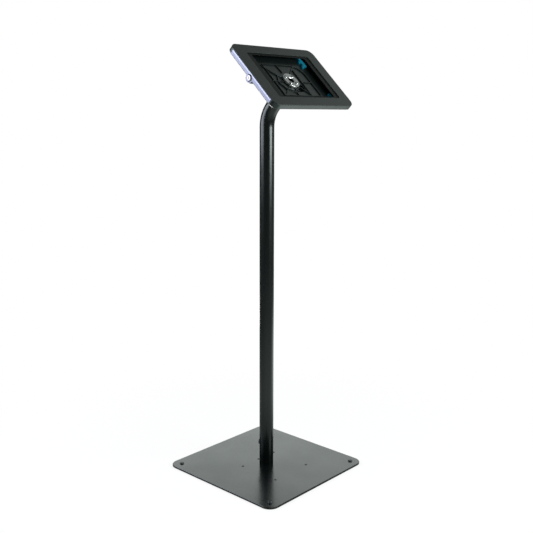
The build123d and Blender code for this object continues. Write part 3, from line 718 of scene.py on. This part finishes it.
class KIOSK_OT_enclosure(bpy.types.Operator):
    """Finish the tray, faceplate, window mask, screws and soft strips"""

    bl_idname = "kiosk.enclosure"
    bl_label = "Enclosure"

    def execute(self, context):
        tint = scene_colours().tray_painted_reflection_tint
        shell = moulded_plastic("black_plastic", scene_colours().shell_plastic, gloss=0.26, painted_reflection_tint=tint)
        dress(["rear_shell"], shell)
        dark = scene_colours().mask_plastic
        mask = moulded_plastic("mask_plastic", dark, gloss=0.5, shine=0.2, painted_reflection_tint=tint)
        dress(["window_mask"], mask)
        dress(["faceplate"], satin_sheet(scene_colours()))
        dress(["case_screws"], black_oxide(scene_colours()))
        foam = soft_rubber("closed_foam", scene_colours().foam, pores=1100)
        strips = new_piece("soft_strips", foam_strips(scene_sizes()), foam, "enclosure")
        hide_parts("foam_strips")
        return {"FINISHED"}


class KIOSK_OT_tablet_stops(bpy.types.Operator):
    """Finish the tablet stops and their screws"""

    bl_idname = "kiosk.tablet_stops"
    bl_label = "Tablet stops"

    def execute(self, context):
        stops = [name for name in frame["nodes"] if name.startswith("tablet_stop_")]
        dress(stops, moulded_plastic("blue_plastic", scene_colours().stop_plastic, gloss=0.3))
        dress(["stop_screws"], zinc_plate(scene_colours()))
        return {"FINISHED"}


class KIOSK_OT_catch(bpy.types.Operator):
    """Finish the catch plate and its screws"""

    bl_idname = "kiosk.catch"
    bl_label = "Catch"

    def execute(self, context):
        dress(["catch_plate", "catch_screws"], zinc_plate(scene_colours()))
        return {"FINISHED"}


class KIOSK_OT_side_bar(bpy.types.Operator):
    """Finish the side bar"""

    bl_idname = "kiosk.side_bar"
    bl_label = "Side bar"

    def execute(self, context):
        dress(["side_bar"], satin_aluminium(scene_colours()))
        return {"FINISHED"}


class KIOSK_OT_lock(bpy.types.Operator):
    """Finish the cam lock and add the wafers in its keyway"""

    bl_idname = "kiosk.lock"
    bl_label = "Cam lock"

    def execute(self, context):
        # The lock's chrome is a darker copy of the ring's, as painted shade
        chrome = polished_chrome("lock_shaded_chrome", scene_colours().lock_shaded_chrome, polish=0.06)
        zinc = zinc_plate(scene_colours())
        dress(["lock_barrel", "lock_plug"], chrome)
        dress(["lock_nut", "lock_cam", "cam_nut"], zinc)
        new_piece("lock_wafers", lock_wafers(scene_sizes()), zinc, "lock")
        return {"FINISHED"}


# Studio

def view_directions(studio):
    """The camera's heading on the floor and its right-hand side."""
    heading = Vector((-math.sin(studio.camera_heading), math.cos(studio.camera_heading), 0))
    return heading, heading.cross(UP)


def set_camera(studio):
    """Camera at the viewpoint of the photograph."""
    data = bpy.data.cameras.new("photo_camera")
    data.lens = studio.camera_lens
    camera = link_scene(bpy.data.objects.new("photo_camera", data))
    heading, right = view_directions(studio)
    forward = heading * math.cos(studio.camera_dip) - UP * math.sin(studio.camera_dip)
    top = heading * math.sin(studio.camera_dip) + UP * math.cos(studio.camera_dip)
    roll = Matrix.Rotation(studio.camera_roll, 3, -forward)
    turn = Matrix((roll @ right, roll @ top, -forward)).transposed()
    camera.matrix_world = Matrix.Translation(studio.camera_place) @ turn.to_4x4()
    bpy.context.scene.camera = camera


def soft_box(name, place, target, width, height, radiance, colour):
    """Rectangular lamp of even brightness that faces a target."""
    data = bpy.data.lights.new(name, "AREA")
    data.shape = "RECTANGLE"
    data.size = width
    data.size_y = height
    data.energy = radiance * math.pi * width * height
    data.color = colour
    lamp = link_scene(bpy.data.objects.new(name, data))
    lamp.location = place
    lamp.rotation_mode = "QUATERNION"
    lamp.rotation_quaternion = (Vector(target) - Vector(place)).to_track_quat("-Z", "Y")
    return lamp


def around_stand(studio, turn_deg, distance, height):
    """Place at a turn from the camera's side towards the right of the view."""
    heading, right = view_directions(studio)
    turn = math.radians(turn_deg)
    return (right * math.sin(turn) - heading * math.cos(turn)) * distance + UP * height


class Surroundings(Wiring):
    """The nodes of the world or the floor, which differ for the camera, mirrors and diffuse light."""

    def __init__(self, tree):
        super().__init__(tree)
        tree.nodes.clear()
        self.path = self.node("ShaderNodeLightPath")

    def ramp(self, value, span, low=0, high=1):
        """Smooth step from low to high between the two ends of a span."""
        start, end = span
        made = self.node(
            "ShaderNodeMapRange", {"interpolation_type": "SMOOTHSTEP"},
            From_Min=start, From_Max=end, To_Min=low, To_Max=high,
        )
        self.link(value, made.inputs["Value"])
        return made.outputs["Result"]

    def distance(self, place, centre):
        """Distance of a linked place from a fixed one."""
        made = self.node("ShaderNodeVectorMath", {"operation": "DISTANCE"})
        made.inputs[1].default_value = centre
        self.link(place, made.inputs[0])
        return made.outputs["Value"]

    def combine(self, operation, first, second):
        """Arithmetic on two values, of which the second may be a number."""
        made = self.node("ShaderNodeMath", {"operation": operation})
        self.link(first, made.inputs[0])
        if isinstance(second, float):
            made.inputs[1].default_value = second
        else:
            self.link(second, made.inputs[1])
        return made.outputs[0]

    def mix(self, factor, first, second):
        """Shader between two others: the second where the factor is 1."""
        made = self.node("ShaderNodeMixShader")
        for target, source in enumerate((factor, first, second)):
            self.link(source, made.inputs[target])
        return made.outputs[0]

    def seen_directly(self):
        """Factor that is 1 for the camera, for mirrors and for glass, and 0 for diffuse light."""
        outputs = self.path.outputs
        larger = self.combine("MAXIMUM", outputs["Is Camera Ray"], outputs["Is Glossy Ray"])
        return self.combine("MAXIMUM", larger, outputs["Is Transmission Ray"])


def set_world(studio):
    """White backdrop behind the stand, a dimmer room round it in reflections, even ambient light."""
    world = bpy.data.worlds.new("studio")
    world.use_nodes = True
    bpy.context.scene.world = world
    wiring = Surroundings(world.node_tree)
    direction = wiring.node("ShaderNodeTexCoord").outputs["Generated"]
    height = wiring.station(direction, UP)

    def toward(facing_shares):
        """How squarely a direction points along a mix of the view's heading and its right."""
        heading, right = view_directions(studio)
        ahead, aside = facing_shares
        return wiring.station(direction, (heading * ahead + right * aside).normalized())

    band = wiring.combine(
        "MULTIPLY", wiring.ramp(height, BACKDROP_RISE), wiring.ramp(height, BACKDROP_FALL, 1, 0)
    )
    facing = wiring.ramp(toward(BACKDROP_FACING_SHARES), BACKDROP_SIDES, high=studio.backdrop)
    backdrop = wiring.combine("MULTIPLY", band, facing)
    facing = wiring.ramp(toward(SKIRT_FACING_SHARES), SKIRT_SIDES, high=studio.skirt)
    skirt = wiring.combine("MULTIPLY", wiring.ramp(height, SKIRT_FALL, 1, 0), facing)
    mirrored = wiring.combine("MAXIMUM", wiring.combine("MAXIMUM", backdrop, skirt), studio.room)
    white = wiring.node("ShaderNodeBackground", Color=WHITE, Strength=1.0)
    reflected = wiring.node("ShaderNodeBackground", Color=(*studio.tint, 1))
    wiring.link(mirrored, reflected.inputs["Strength"])
    ambient = wiring.node("ShaderNodeBackground", Color=WHITE, Strength=studio.ambient)
    mirrors = wiring.mix(wiring.path.outputs["Is Glossy Ray"], white.outputs[0], reflected.outputs[0])
    whole = wiring.mix(wiring.seen_directly(), ambient.outputs[0], mirrors)
    wiring.link(whole, wiring.node("ShaderNodeOutputWorld").inputs["Surface"])


def set_floor(studio):
    """Plain pale floor: white to the camera, with a soft shadow by the stand; in mirrors it has painted
    pools of light, a painted shadow by the stand, and is dimmer far off.
    """
    disc = bmesh.new()
    bmesh.ops.create_circle(disc, cap_ends=True, radius=studio.floor_size, segments=FLOOR_POINTS)
    mesh = bpy.data.meshes.new("floor")
    disc.to_mesh(mesh)
    disc.free()
    floor = link_scene(bpy.data.objects.new("floor", mesh))
    material = bpy.data.materials.new("pale_floor")
    material.use_nodes = True
    wiring = Surroundings(material.node_tree)
    place = wiring.node("ShaderNodeTexCoord").outputs["Object"]
    from_stand = wiring.distance(place, (0, 0, 0))
    paper = wiring.node("ShaderNodeBsdfDiffuse", Color=PAPER)
    white = wiring.node("ShaderNodeEmission", Color=WHITE, Strength=1.0)
    near_share = wiring.ramp(from_stand, FLOOR_WHITE_SPAN, low=studio.floor_share)
    seen = wiring.mix(near_share, paper.outputs[0], white.outputs[0])

    def painted_light_pool(ahead, aside, reach, brightness):
        """Painted pool of light that fades to nothing at its reach from a point ahead of the stand and to
        its right.
        """
        heading, right = view_directions(studio)
        fall = wiring.node("ShaderNodeMapRange", From_Min=LIGHT_POOL_CORE, From_Max=reach, To_Min=1, To_Max=0)
        wiring.link(wiring.distance(place, right * aside + heading * ahead), fall.inputs["Value"])
        faded = wiring.combine("POWER", fall.outputs["Result"], LIGHT_POOL_FALL_POWER)
        return wiring.combine("MULTIPLY", faded, brightness)

    # Painted light: a wide pool of brightness on the floor in reflections, and a bright spot behind to the
    # right
    wide = painted_light_pool(ahead=-0.6, aside=0.15, reach=3.0, brightness=studio.floor_painted_glow)
    bright = painted_light_pool(ahead=0.7, aside=0.93, reach=1.4, brightness=studio.floor_painted_spot)
    strength = wiring.combine("MAXIMUM", wiring.combine("ADD", wide, bright), studio.room)
    # Painted shadow: the floor's glow dims beside the stand
    painted_shadow_by_stand = wiring.ramp(from_stand, FOOT_PAINTED_SHADOW_SPAN, low=studio.foot_painted_shadow)
    strength = wiring.combine("MULTIPLY", strength, painted_shadow_by_stand)
    glow = wiring.node("ShaderNodeEmission", Color=(*studio.tint, 1))
    wiring.link(strength, glow.inputs["Strength"])
    mirrored = wiring.mix(wiring.path.outputs["Is Glossy Ray"], seen, glow.outputs[0])
    whole = wiring.mix(wiring.seen_directly(), paper.outputs[0], mirrored)
    wiring.link(whole, wiring.node("ShaderNodeOutputMaterial").inputs["Surface"])
    mesh.materials.append(material)


def set_lamps(studio):
    """Two soft boxes at the sides of the camera, and two behind the stand that the camera doesn't see."""
    head = (0, -0.05, 1.0)
    left = around_stand(studio, turn_deg=-80, distance=2.3, height=1.43)
    soft_box("left_softbox", left, head, width=2.3, height=1.3, radiance=6.6, colour=(0.84, 0.87, 1.0))
    right = around_stand(studio, turn_deg=64, distance=2.3, height=1.3)
    soft_box(
        "right_front_softbox", right, head, width=1.6, height=1.2, radiance=11.0, colour=(0.93, 1.0, 0.99)
    )
    rear = around_stand(studio, turn_deg=180, distance=3.0, height=1.15)
    rear_lamp = soft_box(
        "rear_softbox", rear, (0, 0, 0.3), width=2.6, height=1.1, radiance=1.25, colour=(0.92, 1.0, 0.965)
    )
    low_place = (0.72, 1.48, 0.3)
    case_corner = (-0.15, -0.18, 1.02)
    low_lamp = soft_box(
        "low_rear_softbox", low_place, case_corner, width=0.6, height=0.7, radiance=0.13,
        colour=(1.0, 0.97, 0.93),
    )
    low_lamp.data.spread = math.radians(20)
    for lamp in (rear_lamp, low_lamp):
        lamp.visible_camera = False


class KIOSK_OT_studio(bpy.types.Operator):
    """Set up the floor, the white backdrop, the lamps and the camera"""

    bl_idname = "kiosk.studio"
    bl_label = "Studio"

    def execute(self, context):
        studio = context.scene.kiosk_studio
        context.scene.view_settings.view_transform = "Standard"
        set_camera(studio)
        set_world(studio)
        set_floor(studio)
        set_lamps(studio)
        return {"FINISHED"}


class KIOSK_PT_sidebar(bpy.types.Panel):
    """Lists the pieces of the kiosk and their values"""

    bl_idname = "KIOSK_PT_sidebar"
    bl_label = "Tablet Kiosk Stand"
    bl_space_type = "VIEW_3D"
    bl_region_type = "UI"
    bl_category = "Kiosk"

    def draw(self, context):
        for operator in PIECE_OPERATORS:
            self.layout.operator(operator.bl_idname)
        for group_name in PROPERTY_GROUPS:
            group = getattr(context.scene, group_name)
            box = self.layout.box()
            for name in group.__annotations__:
                box.prop(group, name)


PIECE_OPERATORS = (
    KIOSK_OT_floor_base,
    KIOSK_OT_pole,
    KIOSK_OT_swivel,
    KIOSK_OT_enclosure,
    KIOSK_OT_tablet_stops,
    KIOSK_OT_catch,
    KIOSK_OT_side_bar,
    KIOSK_OT_lock,
    KIOSK_OT_studio,
)
PROPERTY_GROUPS = {"kiosk_sizes": KioskSizes, "kiosk_colours": KioskColours, "kiosk_studio": KioskStudio}


def register():
    """Adds the add-on's groups of values, its operators and its panel."""
    for name, group in PROPERTY_GROUPS.items():
        bpy.utils.register_class(group)
        setattr(bpy.types.Scene, name, bpy.props.PointerProperty(type=group))
    for operator in PIECE_OPERATORS:
        bpy.utils.register_class(operator)
    bpy.utils.register_class(KIOSK_PT_sidebar)


def unregister():
    """Takes the add-on's classes and values away."""
    bpy.utils.unregister_class(KIOSK_PT_sidebar)
    for operator in reversed(PIECE_OPERATORS):
        bpy.utils.unregister_class(operator)
    for name, group in PROPERTY_GROUPS.items():
        delattr(bpy.types.Scene, name)
        bpy.utils.unregister_class(group)


def main():
    """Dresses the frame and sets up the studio."""
    register()
    bpy.ops.kiosk.floor_base()
    bpy.ops.kiosk.pole()
    bpy.ops.kiosk.swivel()
    bpy.ops.kiosk.enclosure()
    bpy.ops.kiosk.tablet_stops()
    bpy.ops.kiosk.catch()
    bpy.ops.kiosk.side_bar()
    bpy.ops.kiosk.lock()
    bpy.ops.kiosk.studio()


if __name__ == "__main__":
    main()
